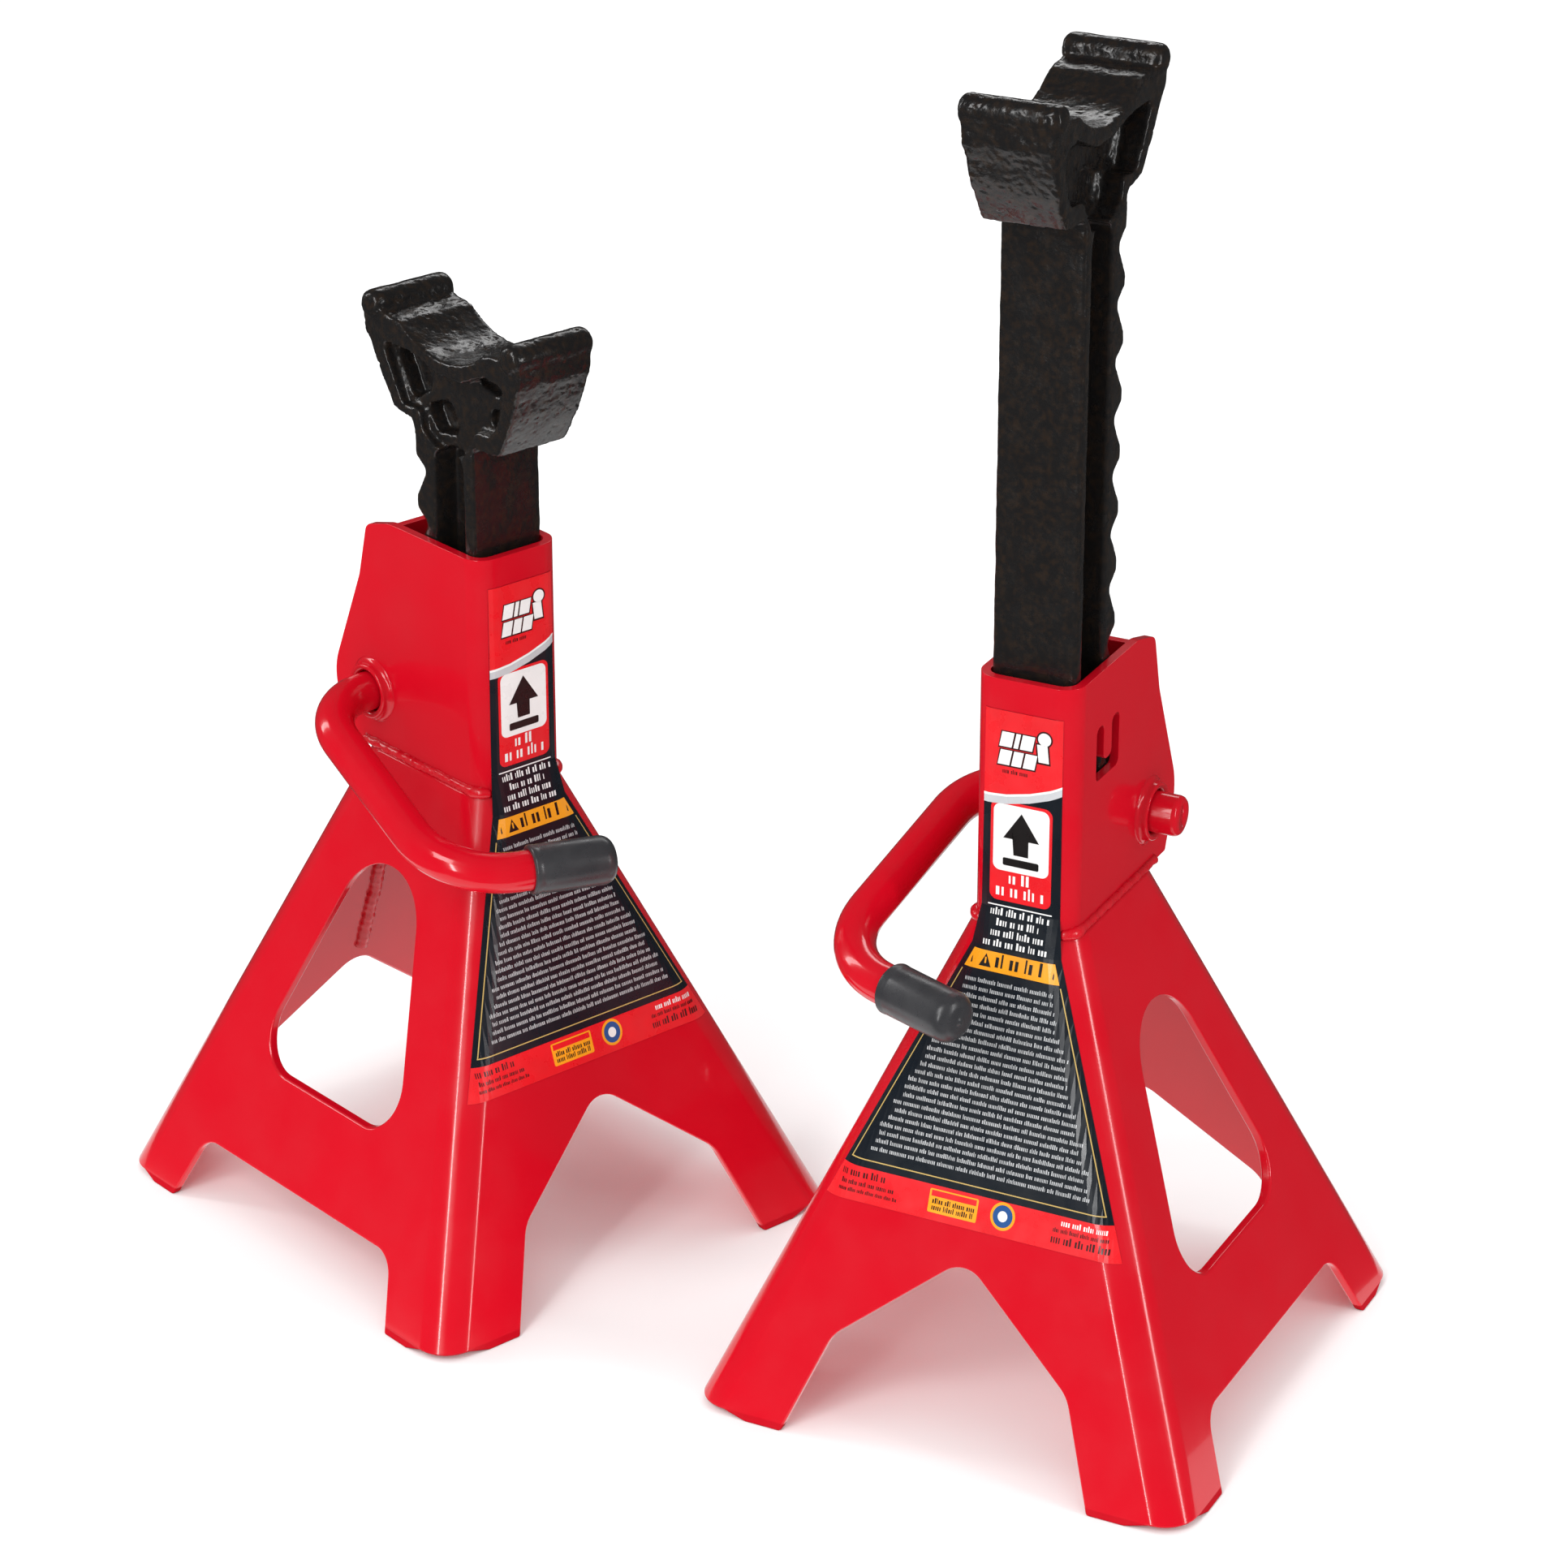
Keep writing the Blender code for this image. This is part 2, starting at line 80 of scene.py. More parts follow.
# column
WALL = 2.8
COL_X, COL_FRONT = 16.1, -30.3
COL_R = 7.0
COL_FOOT = 151.0
CHEEK = ((-32.0, COL_FOOT, 0), (39.0, COL_FOOT, 1.0), (46.3, 170.0, 18.0), (30.5, 207.0, 18.0),
         (26.0, 225.0, 4.0), (14.0, 228.4, 12.0), (-32.0, 228.4, 0))
SLOT = ((-15.2, 194.8, 2.0), (1.0, 194.8, 2.0), (1.0, 211.4, 2.2), (-4.4, 211.4, 2.2),
        (-4.4, 199.8, 2.4), (-10.0, 199.8, 2.4), (-10.0, 211.4, 2.2), (-15.2, 211.4, 2.2))
BACK_Y, BACK_T = 14.5, 2.8
BACK_Z = (210.0, 226.4)
COLLAR = ((15.0, 10.6), (16.1, 10.6), (16.5, 9.9), (17.1, 9.2), (17.9, 8.9), (18.6, 8.8),
          (19.0, 8.6), (19.2, 8.2))
BEAD_BACK, BEAD_Z, BEAD_R = 30.0, 151.9, 1.45

# ratchet bar and saddle
BAR_X = 12.85
BAR_FRONT, ROOT_Y, CREST_Y = -24.5, -1.6, 3.8
BAR_FOOT, STEM_TOP = 30.0, 261.0
TEETH = 12
FIRST_CREST = 253.2
CHANNEL = ((-19.7, 40.0, 6.0), (-5.6, 40.0, 6.0), (-5.6, 258.8, 5.0), (-19.7, 258.8, 5.0))
RECESS = ((18.6, 286.4, 2.5), (3.0, 286.0, 6.0), (-9.0, 282.3, 8.0), (-20.0, 282.0, 8.0),
          (-27.0, 285.2, 6.0), (-33.0, 287.6, 4.0), (-41.4, 286.4, 2.5), (-38.8, 276.0, 8.0),
          (-33.8, 269.2, 2.5), (-26.0, 268.6, 4.0), (-19.8, 258.2, 2.0), (-5.7, 258.2, 2.0),
          (0.6, 262.0, 3.0), (1.0, 268.4, 3.0), (9.8, 267.4, 2.0))
REAR_POCKET = ((17.0, 285.0, 2.5), (4.0, 285.0, 3.0), (-2.4, 275.6, 3.0), (8.0, 268.6, 2.5))
NECK_POCKET = ((1.6, 269.6, 2.0), (-10.6, 273.6, 3.0), (-15.6, 263.6, 3.0), (-3.4, 261.4, 2.5))
FRONT_GROOVE = ((-23.0, 283.2, 1.0), (-32.6, 286.8, 1.5), (-40.2, 285.0, 1.2), (-33.0, 280.6, 2.0))
FRONT_POCKET = ((-30.2, 270.4, 2.2), (-30.2, 276.4, 2.2), (-36.4, 276.4, 2.2), (-35.0, 270.4, 2.2))
# each outline with the web it leaves on the left and on the right of the middle plane
HOLLOWS = ((CHANNEL, 4.0, 4.0), (REAR_POCKET, 4.0, 4.0), (NECK_POCKET, 4.0, 4.0),
           (RECESS, 9.4, 5.2), (FRONT_GROOVE, 6.0, 4.4), (FRONT_POCKET, 6.0, 4.4))
SADDLE_MID = -11.5
VALLEY_R, VALLEY_Z, VALLEY_HALF = 33.0, 287.0, 20.6
SADDLE_X, SADDLE_TAPER, TAPER_FROM = 12.4, 0.052, 262.0
LIP_Y, LIP_Z = (-45.5, 22.5), 296.3
LIP_R, LIP_HALF = 4.5, 15.3
VOXEL = 0.65
SKIN_LIFT = 0.10
PIT_SCALE, PIT_DEPTH, PIT_FROM, PITTED_ABOVE = 0.8224354, 0.42, 0.12, 258

# lever and pawl
PIVOT = (25.0, 170.0)
ROD_R = 6.2
SHAFT_END = 27.0
# the shaft's turned end as (back from the end, short of the full radius)
SHAFT_TURNING = ((0.5, 4.0), (0.1, 2.9), (0.0, 1.7), (0.35, 0.75), (1.0, 0.2), (1.8, 0.0))
ELBOW = (-38.1, 25.0, 170.0)
CORNER = (-49.1, -54.7, 142.5)
TIP = (1.1, -72.2, 141.0)
ELBOW_R, CORNER_R = 20.0, 27.0
GRIP_R, GRIP_LONG = 7.6, 27.0

# front decal: the heights where it bends from column to base, its (height, half width) from top
# to foot, its stand-off from the metal with the thickness of film and ink, and its text block
BEND_LINES = (157.0, 154.0, 151.0, 148.0, 145.5)
FOLD_TOP, FOLD_FOOT = BEND_LINES[0], BEND_LINES[-1]
DECAL_TOP, DECAL_FOOT = 219.0, 68.5
DECAL_LEVELS = ((DECAL_TOP, 12.0), (FOLD_TOP, 12.4), (FOLD_FOOT, 14.2), (DECAL_FOOT, 47.4))
FILM_TOP, FILM_T, INK_T = 0.18, 0.12, 0.04
TEXT_TOP, TEXT_ROWS, TEXT_PITCH, TEXT_HEIGHT = 135.4, 23, 2.36, 0.95
FOLD_STEP_S, FOLD_STEP_Z = 1.5, 7.0

# enamel red, and its slightly duller patches
ENAMEL, ENAMEL_DULL = (0.515, 0.0021, 0.0112), (0.495, 0.0019, 0.0104)


# ---------------------------------------------------------------- shapes

def fillet(before, corner, after, radius, step=6):
    """Points along the arc that rounds one corner of an outline."""
    a, b, c = Vector(before), Vector(corner), Vector(after)
    u, v = (a - b).normalized(), (c - b).normalized()
    half = u.angle(v) / 2
    reach = radius / math.tan(half)
    centre = b + (u + v).normalized() * (radius / math.sin(half))
    start, end = b + u * reach - centre, b + v * reach - centre
    turn = math.pi - 2 * half
    steps = max(3, math.ceil(turn / math.radians(step)))
    points = []
    for i in range(steps + 1):
        t = i / steps
        weight = (math.sin((1 - t) * turn), math.sin(t * turn))
        points.append(centre + (start * weight[0] + end * weight[1]) / math.sin(turn))
    return points


def rounded(corners, step=6):
    """A closed outline from corners given as (a, b, radius)."""
    points = []
    for i, (a, b, radius) in enumerate(corners):
        before = corners[i - 1][:2]
        after = corners[(i + 1) % len(corners)][:2]
        if radius:
            points += [tuple(p) for p in fillet(before, (a, b), after, radius, step)]
        else:
            points.append((a, b))
    return points


def mesh_of(name, points, faces):
    """A closed mesh in millimetres with outward faces."""
    mesh = bpy.data.meshes.new(name)
    mesh.from_pydata([tuple(p) for p in points], [], faces)
    work = bmesh.new()
    work.from_mesh(mesh)
    bmesh.ops.recalc_face_normals(work, faces=work.faces)
    work.to_mesh(mesh)
    work.free()
    return mesh


def prism(name, outline, axis, low, high):
    """An outline pushed along one axis: X takes (y, z), Y takes (x, z), Z takes (x, y)."""
    place = {"X": lambda a, b, t: (t, a, b), "Y": lambda a, b, t: (a, t, b),
             "Z": lambda a, b, t: (a, b, t)}[axis]
    n = len(outline)
    points = [place(a, b, low) for a, b in outline] + [place(a, b, high) for a, b in outline]
    faces = [list(range(n)), list(range(2 * n - 1, n - 1, -1))]
    faces += [(i, (i + 1) % n, n + (i + 1) % n, n + i) for i in range(n)]
    return mesh_of(name, points, faces)


def loft(name, rings):
    """Equal rings joined one to the next and closed at both ends."""
    n = len(rings[0])
    points = [p for ring in rings for p in ring]
    faces = [list(range(n)), list(range(len(points) - 1, len(points) - n - 1, -1))]
    for k in range(len(rings) - 1):
        for i in range(n):
            j = (i + 1) % n
            faces.append((k * n + i, k * n + j, (k + 1) * n + j, (k + 1) * n + i))
    return mesh_of(name, points, faces)


def turned(name, profile, origin, direction, sides=48):
    """Rings of the (distance, radius) profile about a straight axis."""
    axis = Vector(direction).normalized()
    side = axis.orthogonal().normalized()
    up = axis.cross(side)
    rings = []
    for along, radius in profile:
        centre = Vector(origin) + axis * along
        ring = []
        for i in range(sides):
            a = 2 * math.pi * i / sides
            ring.append(tuple(centre + side * radius * math.cos(a) + up * radius * math.sin(a)))
        rings.append(ring)
    return loft(name, rings)


def tube(name, path, radii, sides=16):
    """A round bar along a path, with its own radius at each point."""
    rings = []
    side = Vector((0, 0, 1))
    for i, point in enumerate(path):
        ahead = path[min(i + 1, len(path) - 1)] - path[max(i - 1, 0)]
        ahead.normalize()
        side = (side - ahead * side.dot(ahead)).normalized()
        up = ahead.cross(side)
        ring = []
        for k in range(sides):
            a = 2 * math.pi * k / sides
            ring.append(tuple(point + (side * math.cos(a) + up * math.sin(a)) * radii[i]))
        rings.append(ring)
    return loft(name, rings)


def evaluated(mesh, *modifiers):
    """The mesh after modifiers given as (type, {setting: value})."""
    thing = bpy.data.objects.new("work", mesh)
    bpy.context.collection.objects.link(thing)
    for kind, settings in modifiers:
        step = thing.modifiers.new("step", kind)
        for key, value in settings.items():
            setattr(step, key, value)
    graph = bpy.context.evaluated_depsgraph_get()
    result = bpy.data.meshes.new_from_object(thing.evaluated_get(graph))
    result.name = mesh.name
    bpy.data.objects.remove(thing, do_unlink=True)
    return result


def combine(mesh, operation, others):
    """One mesh joined with, cut by or kept inside each of the others in turn."""
    tools = []
    steps = []
    for other in others:
        tool = bpy.data.objects.new("work_tool", other)
        bpy.context.collection.objects.link(tool)
        tools.append(tool)
        steps.append(("BOOLEAN", {"operation": operation, "solver": "EXACT", "object": tool}))
    result = evaluated(mesh, *steps)
    for tool in tools:
        bpy.data.objects.remove(tool, do_unlink=True)
    return result


def on_seam(edge):
    """Whether an edge lies on the plane where the two shells meet."""
    return all(abs(vertex.co.x) < 0.02 for vertex in edge.verts)


def soften(mesh, width, segments=3, angle=28, seam=False):
    """Rounds the sharp edges, apart from those on the seam plane, and evens the shading."""
    work = bmesh.new()
    work.from_mesh(mesh)
    bmesh.ops.remove_doubles(work, verts=work.verts, dist=0.02)
    bmesh.ops.dissolve_limit(work, angle_limit=math.radians(0.4), verts=work.verts,
                             edges=work.edges)
    sharp = []
    for edge in work.edges:
        if len(edge.link_faces) == 2 and edge.calc_face_angle() > math.radians(angle):
            if not (seam and on_seam(edge)):
                sharp.append(edge)
    bmesh.ops.bevel(work, geom=sharp, offset=width, offset_type="OFFSET", segments=segments,
                    profile=0.5, affect="EDGES", clamp_overlap=True)
    work.to_mesh(mesh)
    work.free()
    mesh.shade_smooth()
    return evaluated(mesh, ("WEIGHTED_NORMAL", {"mode": "FACE_AREA", "weight": 60}))


# ---------------------------------------------------------------- pieces

def half_width(z):
    """Half the base's width at a height."""
    return FOOT_X + (NECK_X - FOOT_X) * z / BASE_H


def half_depth(z):
    """Half the base's depth at a height."""
    return FOOT_Y + (NECK_Y - FOOT_Y) * z / BASE_H


def hip_point(angle, z, shrink_x, shrink_y):
    """A point of the rounded front right corner; 0 faces +X, 90 degrees faces the front."""
    x = half_width(z) - HIP_R + (HIP_R - shrink_x) * math.cos(angle)
    y = -(half_depth(z) - HIP_R + (HIP_R - shrink_y) * math.sin(angle))
    return x, y, z


def shell_point(kind, share, z, shrink_x, shrink_y):
    """A point of the shell's front, hip or side, drawn in by the sheet's thickness."""
    if kind == "hip":
        return hip_point(share, z, shrink_x, shrink_y)
    if kind == "front":
        return share * (half_width(z) - HIP_R), -(half_depth(z) - shrink_y), z
    return half_width(z) - shrink_x, -share * (half_depth(z) - HIP_R), z


def base_half(side):
    """One stamped shell: a side face with half of the front and of the back."""
    thick_x = SHEET / math.cos(math.atan((FOOT_X - NECK_X) / BASE_H))
    thick_y = SHEET / math.cos(math.atan((FOOT_Y - NECK_Y) / BASE_H))
    stations = [(0.0, "front", 0.0), (0.0, "front", FOOT_FLAT_X / (FOOT_X - HIP_R))]
    for i in range(HIP_STEPS + 1):
        stations.append((CORNER_LIFT, "hip", math.pi / 2 * (1 - i / HIP_STEPS)))
    stations.append((0.0, "side", FOOT_FLAT_Y / (FOOT_Y - HIP_R)))
    rings = []
    for low, kind, share in stations:
        rings.append([shell_point(kind, share, low, 0, 0),
                      shell_point(kind, share, BASE_H, 0, 0),
                      shell_point(kind, share, BASE_H, thick_x, thick_y),
                      shell_point(kind, share, low, thick_x, thick_y)])
    rings += [[(x, -y, z) for x, y, z in ring] for ring in reversed(rings)]
    rings = [[(side * x, y, z) for x, y, z in ring] for ring in rings]
    reach = sorted((side * 8.0, side * 95.0))
    cuts = [prism("cut", rounded(WINDOW), "X", *reach),
            prism("cut", rounded(SIDE_NOTCH), "X", *reach),
            prism("cut", rounded(FRONT_NOTCH), "Y", -100.0, 100.0)]
    body = combine(loft("base_half", rings), "DIFFERENCE", cuts)
    return soften(body, 0.75, 3, seam=True)


def seam_weld(end):
    """The inside run of weld that joins the two shells, at the front (-1) or the back (1)."""
    inset = SHEET / math.cos(math.atan((FOOT_Y - NECK_Y) / BASE_H)) - 0.3
    path = []
    radii = []
    for i in range(SEAM_STEPS):
        z = SEAM_FOOT + i * SEAM_STEP
        wave = 0.28 * math.sin(z * 2.1) + 0.25 * noise.noise(Vector((z * 0.3, end * 4.0, 0)))
        path.append(Vector((0.5 * noise.noise(Vector((z * 0.12, 9.0, end))),
                            end * (half_depth(z) - inset), z)))
        radii.append(SEAM_R + wave)
    radii[0] = radii[-1] = 0.7
    mesh = tube("seam_weld", path, radii)
    mesh.shade_smooth()
    return mesh


def column():
    """The bent plate: a front wall and two cheeks, bored for the lever shaft."""
    inner = COL_X - WALL
    plan = rounded(((-COL_X, 50.0, 0), (-COL_X, COL_FRONT, COL_R), (COL_X, COL_FRONT, COL_R),
                    (COL_X, 50.0, 0), (inner, 50.0, 0), (inner, COL_FRONT + WALL, COL_R - WALL),
                    (-inner, COL_FRONT + WALL, COL_R - WALL), (-inner, 50.0, 0)))
    body = prism("column", plan, "Z", COL_FOOT - 5, 240.0)
    body = combine(body, "INTERSECT", [prism("keep", rounded(CHEEK), "X", -20.0, 20.0)])
    slot = prism("slot", rounded(SLOT, 9), "X", 10.0, 20.0)
    centre = (0, *PIVOT)
    bore = turned("bore", ((-22.0, ROD_R + 0.35), (22.0, ROD_R + 0.35)), centre, (1, 0, 0))
    return soften(combine(body, "DIFFERENCE", [slot, bore]), 1.15, 4)


def collar(side):
    """The flanged ring round the lever shaft, with paint-filled edges."""
    profile = list(COLLAR) + [(18.9, ROD_R + 1.1), (18.3, ROD_R + 0.5), (15.0, ROD_R + 0.4)]
    axis_y, axis_z = PIVOT
    sides = 56
    points = []
    faces = []
    rings = len(profile)
    for along, radius in profile:
        for i in range(sides):
            a = 2 * math.pi * i / sides
            swell = 1 + 0.012 * math.sin(3 * a + side) * (radius > 9)
            points.append((side * along, axis_y + radius * swell * math.cos(a),
                           axis_z + radius * swell * math.sin(a)))
    for k in range(rings):
        for i in range(sides):
            j = (i + 1) % sides
            m = (k + 1) % rings
            faces.append((k * sides + i, k * sides + j, m * sides + j, m * sides + i))
    mesh = mesh_of("collar", points, faces)
    mesh.shade_smooth()
    return mesh


def back_plate():
    """The cross plate, run out in a small radius to each cheek where it is welded."""
    inner = COL_X - WALL
    buried = inner + 0.7
    low, high = BACK_Y - 3.0, BACK_Y + BACK_T + 1.4
    plan = rounded(((buried, low, 0), (inner, low, 0), (inner, BACK_Y, 2.6),
                    (-inner, BACK_Y, 2.6), (-inner, low, 0), (-buried, low, 0),
                    (-buried, high, 0), (-inner, high, 0), (-inner, BACK_Y + BACK_T, 1.2),
                    (inner, BACK_Y + BACK_T, 1.2), (inner, high, 0), (buried, high, 0)), 15)
    return soften(prism("back_plate", plan, "Z", *BACK_Z), 0.35, 3, 50)


def weld_bead(side):
    """A rippled bead round one front corner of the column and back along its cheek."""
    path = []
    for i in range(9):
        a = math.radians(-64 + 8 * i)
        path.append((COL_X - COL_R + COL_R * math.cos(a),
                     COL_FRONT + COL_R + COL_R * math.sin(a)))
    y = path[-1][1]
    while y < BEAD_BACK:
        y += 0.75
        path.append((COL_X, y))
    line = []
    radii = []
    for i, (x, y) in enumerate(path):
        ripple = 0.06 * math.sin(i * 2.4) + 0.26 * noise.noise(Vector((y * 0.35, side * 3.0, 1.0)))
        lump = 0.55 * math.exp(-((i - 5) / 3.0) ** 2)
        rise = 0.25 * noise.noise(Vector((y * 0.2, side, 7)))
        line.append(Vector((side * x, y, BEAD_Z + rise)))
        radii.append(BEAD_R + ripple + lump)
    radii[0] = 0.5
    radii[-1] = 0.6
    mesh = tube("weld_bead", line, radii, 14)
    mesh.shade_smooth()
    return mesh


def tooth_outline():
    """The rear edge of the bar from its foot up: slope in, rounded root, hooked underside."""
    points = []
    for n in range(TEETH - 1, -1, -1):
        crest = FIRST_CREST - n * PITCH
        points += [(CREST_Y, crest - 13.2, 2.2), (ROOT_Y, crest - 4.06, 1.6),
                   (CREST_Y, crest, 1.1)]
    return points


def valley():
    """The cradle's arc, from front to rear."""
    points = []
    reach = math.asin(VALLEY_HALF / VALLEY_R)
    for i in range(25):
        a = reach * (i / 12 - 1)
        points.append((SADDLE_MID - 0.5 + VALLEY_R * math.sin(a),
                       VALLEY_Z + VALLEY_R * (1 - math.cos(a)), 0))
    return points


def saddle_outline():
    """The saddle from the front of its neck over the two lips to the rear of its neck."""
    front = [(-20.0, 252.0, 0), (-24.5, 255.0, 0), (-24.5, 262.6, 1.5), (-37.4, 263.4, 2.0),
             (-43.4, 273.3, 30.0), (-49.4, 289.0, 8.0), (-49.0, 300.2, 3.4), (-42.0, 300.2, 3.0),
             (-41.2, 295.4, 0.8)]
    rear = [(18.2, 295.4, 0.8), (19.0, 300.2, 3.0), (26.4, 300.2, 3.4), (26.6, 289.0, 8.0),
            (20.4, 277.0, 30.0), (14.4, 265.6, 2.0), (5.0, 263.8, 1.5), (3.8, 259.0, 0),
            (0.0, 252.0, 0)]
    return rounded(front + valley() + rear)


def cast_depth(point):
    """How far the casting's skin stands out or in at a point, in millimetres."""
    fine = noise.noise(point * 0.75) * 0.055
    broad = noise.noise(point * 0.16 + Vector((3.0, 0, 0))) * 0.16
    if point.z < PITTED_ABOVE:
        return fine + broad
    pits = noise.noise(point * PIT_SCALE + Vector((0, 7.0, 0)))
    return fine * 1.5 + broad * 1.3 - PIT_DEPTH * max(0.0, pits - PIT_FROM)


def lip_roll(y):
    """The round roll along the top of one lip of the saddle."""
    profile = []
    for i in range(7):
        a = math.pi / 2 * i / 6
        profile.append((LIP_HALF - 2.6 + 2.6 * math.cos(a), LIP_R - 2.6 + 2.6 * math.sin(a)))
    profile += [(-along, radius) for along, radius in reversed(profile)]
    return turned("lip_roll", profile, (0, y, LIP_Z), (1, 0, 0), 28)


def ratchet_bar():
    """The I-section toothed bar with its saddle as one casting, with a cast skin."""
    stem = [(BAR_FRONT, BAR_FOOT, 1.0), (ROOT_Y, BAR_FOOT, 1.0)] + tooth_outline()
    stem += [(CREST_Y, STEM_TOP, 0), (BAR_FRONT, STEM_TOP, 0)]
    body = prism("ratchet_bar", rounded(stem, 12), "X", -BAR_X, BAR_X)
    saddle = prism("saddle", saddle_outline(), "X", -1.0, 1.0)
    for vertex in saddle.vertices:
        vertex.co.x *= SADDLE_X + SADDLE_TAPER * (vertex.co.z - TAPER_FROM)
    body = combine(body, "UNION", [saddle] + [lip_roll(y) for y in LIP_Y])
    cuts = []
    for outline, web_left, web_right in HOLLOWS:
        cuts.append(prism("cut", rounded(outline, 15), "X", -20.0, -web_left))
        cuts.append(prism("cut", rounded(outline, 15), "X", web_right, 20.0))
    body = combine(body, "DIFFERENCE", cuts)
    body = evaluated(body, ("REMESH", {"mode": "VOXEL", "voxel_size": VOXEL}),
                     ("SMOOTH", {"factor": 0.5, "iterations": 7}))
    outward = [entry.vector.copy() for entry in body.vertex_normals]
    skin = [vertex.co + outward[vertex.index] * (SKIN_LIFT + cast_depth(vertex.co))
            for vertex in body.vertices]
    body.vertices.foreach_set("co", [part for point in skin for part in point])
    body.update()
    body = evaluated(body, ("DECIMATE", {"ratio": 0.4}))
    body.shade_smooth()
    return body


def lever():
    """The bent round bar: a turned end with a dimple, shaft, elbow, arm, corner and handle."""
    start = Vector((SHAFT_END, *PIVOT))
    axis = (Vector(TIP) - Vector(CORNER)).normalized()
    end = Vector(TIP) - axis * 3.0
    path = [start + Vector((-back, 0, 0)) for back, _ in SHAFT_TURNING]
    radii = [ROD_R - short for _, short in SHAFT_TURNING]
    bends = fillet(start, ELBOW, CORNER, ELBOW_R, 4) + fillet(ELBOW, CORNER, TIP, CORNER_R, 4)
    path += bends + [end - axis * 1.0, end]
    radii += [ROD_R] * (len(bends) + 1) + [ROD_R - 1.0]
    mesh = tube("lever", path, radii, 40)
    mesh.shade_smooth()
    return mesh


def grip():
    """A soft sleeve closed over the end of the handle, with a rolled rim and a moulding nub."""
    axis = Vector(TIP) - Vector(CORNER)
    inside = ROD_R + 0.1
    profile = [(-2.4, inside - 1.4), (-2.9, inside), (-GRIP_LONG, inside)]
    for i in range(6):
        a = math.pi / 2 * i / 5
        profile.append((-GRIP_LONG - 0.1 + 0.7 * (1 - math.cos(a)),
                        inside + 0.15 + (GRIP_R - inside) * math.sin(a)))
    profile += [(-GRIP_LONG + 2.0, GRIP_R + 0.02), (-GRIP_LONG + 2.6, GRIP_R - 0.12),
                (-GRIP_LONG + 3.2, GRIP_R), (-12.0, GRIP_R + 0.06), (-4.6, GRIP_R)]
    for i in range(1, 11):
        a = math.pi / 2 * i / 10
        profile.append((-4.6 + 4.4 * math.sin(a), 1.6 + (GRIP_R - 1.6) * math.cos(a) ** 0.62))
    profile += [(-0.1, 1.2), (0.15, 0.9), (0.2, 0.4)]
    mesh = turned("lever_grip", profile, TIP, axis, 48)
    for vertex in mesh.vertices:
        wander = noise.noise(vertex.co * 0.22) * 0.10
        vertex.co += (vertex.co - Vector(TIP)).cross(axis).cross(axis).normalized() * -wander
    mesh.shade_smooth()
    return mesh


# ---------------------------------------------------------------- the printed film

def decal_point(s, z, off):
    """The point s millimetres across the film at a height, off the metal by the given amount."""
    share = min(1.0, max(0.0, (FOLD_TOP - z) / (FOLD_TOP - FOLD_FOOT)))
    low = min(z, FOLD_FOOT)
    flat = (1 - share) * (COL_X - COL_R) + share * (half_width(low) - HIP_R)
    radius = (1 - share) * COL_R + share * HIP_R
    front = (1 - share) * COL_FRONT - share * half_depth(low)
    side = math.copysign(1.0, s)
    past = abs(s) - flat
    if past <= 0:
        return s, front - off, z
    turn = past / radius
    return (side * (flat + (radius + off) * math.sin(turn)),
            front + radius - (radius + off) * math.cos(turn), z)


def half_at(z):
    """The film's half width at a height."""
    for (high, wide), (low, wider) in zip(DECAL_LEVELS, DECAL_LEVELS[1:]):
        if z >= low:
            return wide + (wider - wide) * (high - z) / (high - low)
    return DECAL_LEVELS[-1][1]


def rect(s0, z0, s1, z1):
    """An upright rectangle on the film."""
    return [(s0, z0), (s1, z0), (s1, z1), (s0, z1)]


def leaning(s0, z0, s1, z1, lean):
    """A bar whose top is pushed sideways."""
    return [(s0, z0), (s1, z0), (s1 + lean, z1), (s0 + lean, z1)]


def disc(s, z, radius, sides=28):
    """A round patch on the film."""
    return [(s + radius * math.cos(2 * math.pi * i / sides),
             z + radius * math.sin(2 * math.pi * i / sides)) for i in range(sides)]


def soft_rect(s0, z0, s1, z1, radius):
    """An upright rectangle with rounded corners."""
    corners = ((s0, z0, radius), (s1, z0, radius), (s1, z1, radius), (s0, z1, radius))
    return rounded(corners, 15)


def word_row(rng, middle, half, z, height, longest):
    """A row of plain upright strokes, grouped like words, in place of any lettering."""
    shapes = []
    s = middle - half
    word_end = s + rng.uniform(1.6, longest)
    while s < middle + half:
        width = height * rng.uniform(0.18, 0.42)
        rise = height * rng.choice((0.0, 0.0, 0.0, 0.35))
        shapes.append(rect(s, z, s + width, z + height + rise))
        s += width + height * 0.26
        if s > word_end:
            s += height * 0.5
            word_end = s + rng.uniform(1.6, longest)
    return shapes


def zone(top, foot, inset=0.0):
    """A band of the film between two heights that follows its edges."""
    levels = [top] + [z for z, _ in DECAL_LEVELS if foot < z < top] + [foot]
    right = [(half_at(z) - inset, z) for z in levels]
    return right + [(-s, z) for s, z in reversed(right)]


def border_lines(top, foot, inset, width):
    """A thin frame inside the field's edges."""
    shapes = []
    for side in (-1, 1):
        shapes.append([(side * (half_at(top) - inset), top), (side * (half_at(foot) - inset), foot),
                       (side * (half_at(foot) - inset - width), foot),
                       (side * (half_at(top) - inset - width), top)])
    half = half_at(foot) - inset
    shapes.append(rect(-half, foot, half, foot + width * 0.9))
    return shapes


